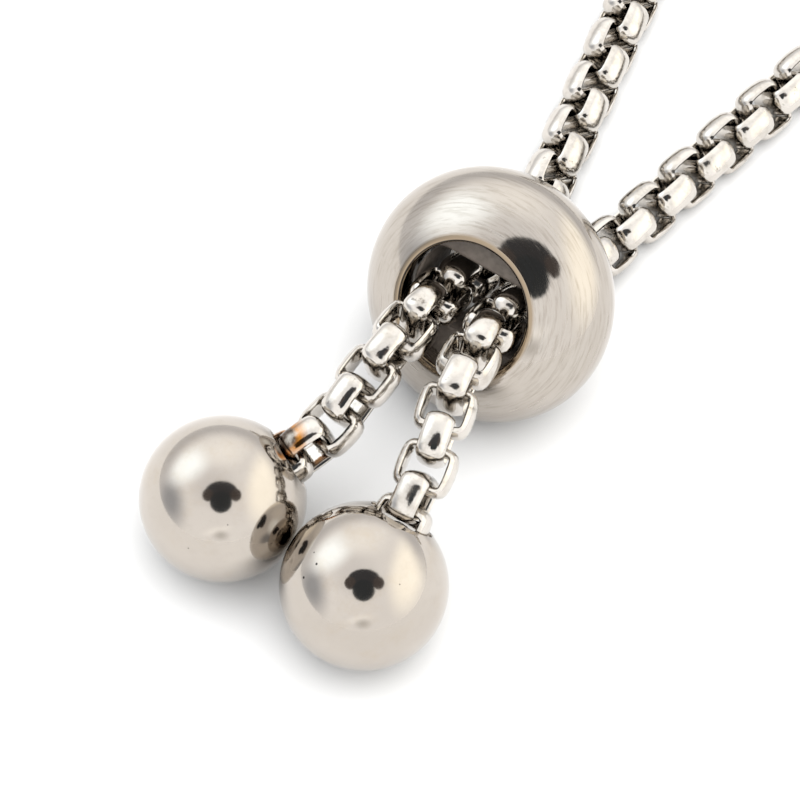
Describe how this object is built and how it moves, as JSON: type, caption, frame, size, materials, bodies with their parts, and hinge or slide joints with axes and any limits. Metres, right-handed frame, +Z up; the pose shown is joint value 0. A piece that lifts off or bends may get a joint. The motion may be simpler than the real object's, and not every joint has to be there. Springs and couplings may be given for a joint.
{
  "type": "bolo slider bracelet",
  "caption": "Adjustable bracelet of round box chain: both ends pass side by side through a flattened slider bead and end in stop balls.",
  "frame": {"origin": "middle of the footprint, on the surface the bracelet lies on", "axes": "+Y along the loop's middle line from the slider to the far end of the loop, +Z up, +X towards the strand called right"},
  "size_m": [0.0468, 0.0994, 0.0082],
  "materials": {
    "slider_steel": "turned and polished, fine round scratches",
    "grip_silicone": "matt, dark",
    "chain_steel": "polished",
    "ball_steel": "polished, small pits"
  },
  "bodies": {
    "root": {"slider_shell": "slider_steel", "slider_grip": "grip_silicone", "chain_right": "chain_steel", "chain_left": "chain_steel", "end_ball_right": "ball_steel", "end_ball_left": "ball_steel"}
  },
  "joints": []
}
